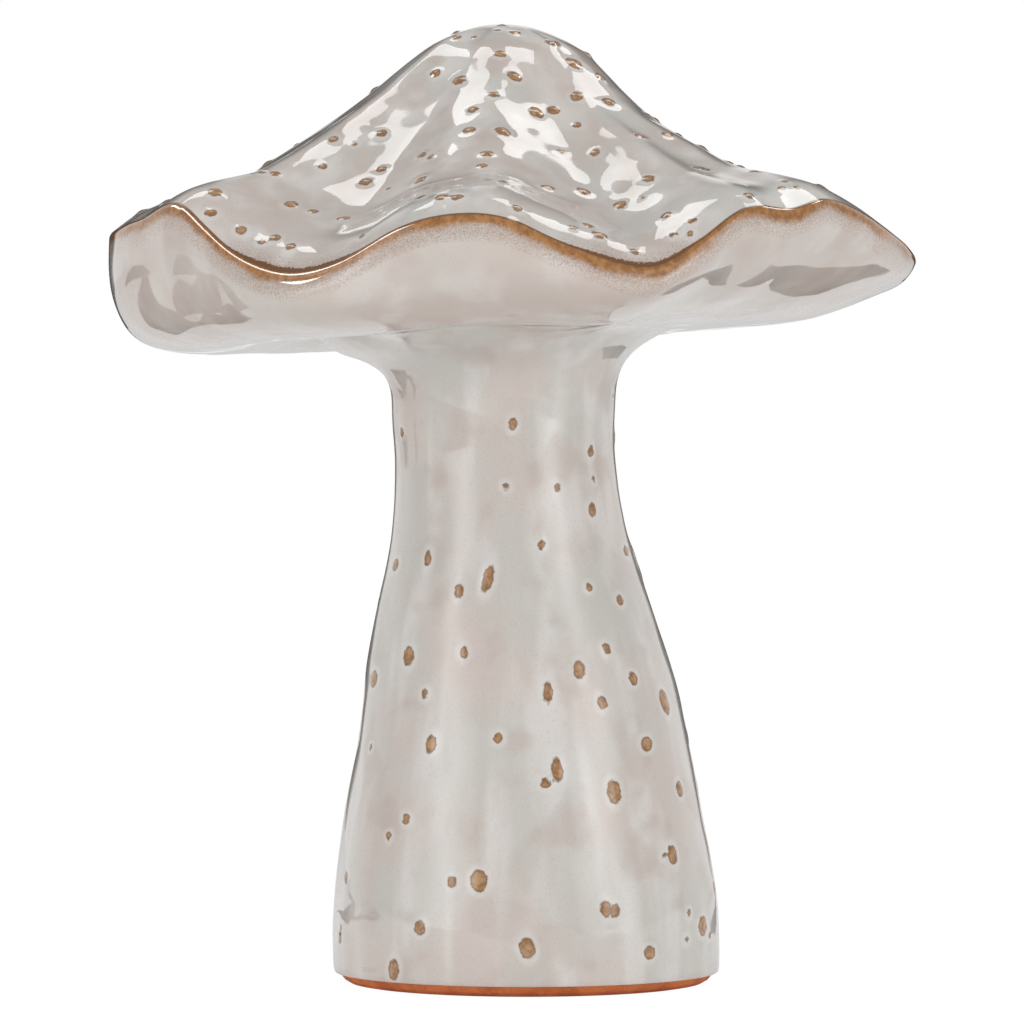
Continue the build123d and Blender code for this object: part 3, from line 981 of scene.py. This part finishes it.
# %% [markdown]
# ## Bare clay
# The foot, and everything inside, is unglazed earthenware: a matt orange brown, lighter and darker
# in clouds, with pale grains of sand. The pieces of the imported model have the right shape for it,
# so they only get the finish. The slip that joins them was thinner clay, and dried smoother and
# paler.

# %% Clay and slip materials
clay_cloud_size, sand_size, sand_depth = 6, 0.5, 0.1
pale_sand = colour(196, 150, 118)


def clay_finish(name, pale, dark, roughness):
    """A matt clay between two colours."""
    made, tree, shader, place = finish_of(name)
    clouds = grain(tree, place, clay_cloud_size, 3)
    sand = grain(tree, place, sand_size, 2)
    base = colour_mix(tree, ramp(tree, clouds, 0.35, 0.65), dark, pale)
    sanded = tinted(tree, base, ramp(tree, sand, 0.58, 0.68), 0.5, pale_sand)
    plug(tree, shader.inputs["Base Color"], sanded)
    bump = node(tree, 'ShaderNodeBump', Height=sand, Strength=0.6, Distance=sand_depth * mm)
    plug(tree, shader.inputs["Normal"], bump.outputs["Normal"])
    shader.inputs["Roughness"].default_value = roughness
    return made


bare_clay = clay_finish("bare_terracotta", colour(212, 122, 68), colour(188, 100, 54), 0.85)
dry_slip = clay_finish("dry_slip", colour(186, 132, 98), colour(168, 114, 82), 0.75)
for name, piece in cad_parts.items():
    piece.data.materials.clear()
    piece.data.materials.append(dry_slip if "slip" in name else bare_clay)
print("clay on", len(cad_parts), "pieces")

# %% [markdown]
# ## Light
# Product pictures like this one are lit by big softboxes: two high behind the mushroom, which
# make the hard white shapes on the cap, and two wide ones in front, which light it evenly and
# are kept out of the gloss. Smaller ones at the sides add the thin bright lines along the lip and
# on the right of the cap. The two on the left are for the gloss alone, so they don't change how
# bright that side is.

# %% A softbox
aim_height = 0.1


def softbox(name, bearing, elevation, distance, width, height, radiance):
    """A flat light that faces the mushroom, unseen by the camera. Bearing 0 is the front."""
    around, up = radians(bearing), radians(elevation)
    aim = Vector((0, 0, aim_height))
    way = Vector((sin(around) * cos(up), -cos(around) * cos(up), sin(up)))
    bpy.ops.object.select_all(action='DESELECT')
    bpy.ops.object.light_add(type='AREA', location=aim + way * distance)
    lamp = bpy.context.object
    lamp.name = name
    lamp.rotation_euler = way.to_track_quat('Z', 'Y').to_euler()
    lamp.data.shape = 'RECTANGLE'
    lamp.data.size, lamp.data.size_y = width, height
    lamp.data.energy = radiance * pi * width * height
    lamp.visible_camera = False
    return lamp


print("softboxes face a point", aim_height, "m above the ground")

# %% Softboxes: bearing and elevation in degrees, distance, width and height in metres, radiance
softboxes = {
    "softbox_back_left": (-145, 63, 1.0, 0.16, 0.34, 2.4),
    "softbox_back_right": (141, 62, 1.0, 0.22, 0.40, 2.4),
    "strip_right": (118, 50, 1.0, 0.3, 0.10, 6),
    "strip_left": (-108, 36, 1.0, 0.35, 0.22, 9),
    "strip_lip_left": (-82, 48, 1.0, 0.44, 0.26, 10),
    "softbox_front_left": (-42, 6, 1.2, 1.2, 0.5, 1.8),
    "softbox_front_right": (42, 6, 1.2, 1.2, 0.5, 1.8)}
for name, measures in softboxes.items():
    lamp = softbox(name, *measures)
    lamp.visible_diffuse = name not in ("strip_left", "strip_lip_left")
    lamp.visible_glossy = "front" not in name
print("lights:", list(softboxes))

# %% [markdown]
# ## Ground
# The mushroom stands on a white table, lit a little from below, as such tables are. To the camera
# it is plain white with a trace of the soft shadow. Dark cards lie round it as painted shadow on
# the floor: only the gloss picks them up, and they draw the grey ribbons under the lobes of the
# cap.

# %% Ground
table_white, table_glow = 0.90, 0.05
seen_white, seen_share = 1.04, 0.93
bpy.ops.object.select_all(action='DESELECT')
bpy.ops.mesh.primitive_plane_add(size=8)
ground = bpy.context.object
ground.name = "white_ground"
white, tree, shader, _ = finish_of("white_ground")
shader.inputs["Base Color"].default_value = (table_white, table_white, table_white, 1)
shader.inputs["Roughness"].default_value = 0.9
shader.inputs["Emission Color"].default_value = (1, 1, 1, 1)
shader.inputs["Emission Strength"].default_value = table_glow
glow = node(tree, 'ShaderNodeEmission', Color=(1, 1, 1, 1), Strength=seen_white)
mixed = node(tree, 'ShaderNodeMixShader')
sight = tree.nodes.new('ShaderNodeLightPath').outputs["Is Camera Ray"]
plug(tree, mixed.inputs[0], times(tree, sight, seen_share))
plug(tree, mixed.inputs[1], shader.outputs[0])
plug(tree, mixed.inputs[2], glow.outputs[0])
plug(tree, tree.nodes["Material Output"].inputs["Surface"], mixed.outputs[0])
ground.data.materials.append(white)
print(ground.name, "reflects", table_white, "of the light")

# %% A card of painted shadow
card_lift, painted_shadow_black = 1, 0.03


def shadow_card(name, x, y, length, width, turn):
    """A dark card of painted shadow lying on the ground, which only the gloss of the glaze picks
    up.
    """
    bpy.ops.object.select_all(action='DESELECT')
    bpy.ops.mesh.primitive_plane_add(size=1, location=(x * mm, y * mm, card_lift * mm),
                                     rotation=(0, 0, radians(turn)))
    card = bpy.context.object
    card.name = name
    card.scale = (length * mm, width * mm, 1)
    card.visible_camera = card.visible_shadow = False
    card.visible_diffuse = card.visible_transmission = False
    black, tree, shader, _ = finish_of(name)
    # near-black: painted shadow on the floor, for the gloss alone
    shader.inputs["Base Color"].default_value = (painted_shadow_black, painted_shadow_black, painted_shadow_black, 1)
    shader.inputs["Roughness"].default_value = 0.9
    card.data.materials.append(black)


# %% Cards of painted shadow: place to the right and to the back, length and width in mm, turn in degrees
shadow_cards = {
    # each card is painted shadow on the floor, seen only in the gloss
    "shadow_card_left_far": (-560, 380, 830, 130, -31),
    "shadow_card_left_near": (-190, 170, 90, 130, 0),
    "shadow_card_left_end": (-1900, 1500, 2600, 450, -39),
    "shadow_card_long_near": (-430, 105, 460, 50, -5),
    "shadow_card_long_far": (-1550, 430, 1900, 90, -17.5),
    "shadow_card_right": (148, 200, 56, 190, -12)}
for name, measures in shadow_cards.items():
    shadow_card(name, *measures)
print("dark cards:", len(shadow_cards))

# %% [markdown]
# ## Surroundings
# The room gives an even light. To the camera it is white. In the gloss it has upright bands, bright
# and dark, that make the long soft stripes at the edges of the stem. They fade out with height,
# where a plain grey ceiling takes over.

# %% Bands in the gloss: bearing as a share of the way from front to back, and brightness
front_level, back_level = 0.35, 0.9
gloss_bands = ((0.18, 0.35), (0.26, 1.9), (0.30, 1.9), (0.40, 0.4), (0.60, 0.4), (0.70, 0.8),
               (0.86, 0.8), (0.89, 0.03), (0.965, 0.03), (0.98, 0.9))
ceiling_grey, even_light = (0.32, 0.33, 0.33, 1), (0.67, 0.67, 0.67, 1)

# %% Room
world = bpy.data.worlds.new("studio")
bpy.context.scene.world = world
world.use_nodes = True
tree = world.node_tree
sky = tree.nodes["Background"]
rays = tree.nodes.new('ShaderNodeLightPath').outputs
way_out = tree.nodes.new('ShaderNodeTexCoord').outputs["Generated"]
split = node(tree, 'ShaderNodeSeparateXYZ', Vector=way_out)
sideways = maths(tree, 'ABSOLUTE', split.outputs["X"])
forward = times(tree, split.outputs["Y"], -1)
back_share = maths(tree, 'DIVIDE', maths(tree, 'ARCTAN2', sideways, forward), pi)
bands = node(tree, 'ShaderNodeValToRGB', Fac=back_share)
stops = bands.color_ramp.elements
stops[0].position, stops[0].color = 0.0, (front_level, front_level, front_level, 1)
stops[1].position, stops[1].color = 1.0, (back_level, back_level, back_level, 1)
for band_share, level in gloss_bands:
    stops.new(band_share).color = (level, level, level, 1)
high = ramp(tree, split.outputs["Z"], 0.42, 0.68)
gloss = colour_mix(tree, high, bands.outputs["Color"], ceiling_grey)
ambient = colour_mix(tree, rays["Is Glossy Ray"], even_light, gloss)
plug(tree, sky.inputs["Color"], colour_mix(tree, rays["Is Camera Ray"], ambient, (1, 1, 1, 1)))
sky.inputs["Strength"].default_value = 1
bpy.context.scene.view_settings.view_transform = 'Standard'
print("world:", world.name, "with", len(stops), "bands")
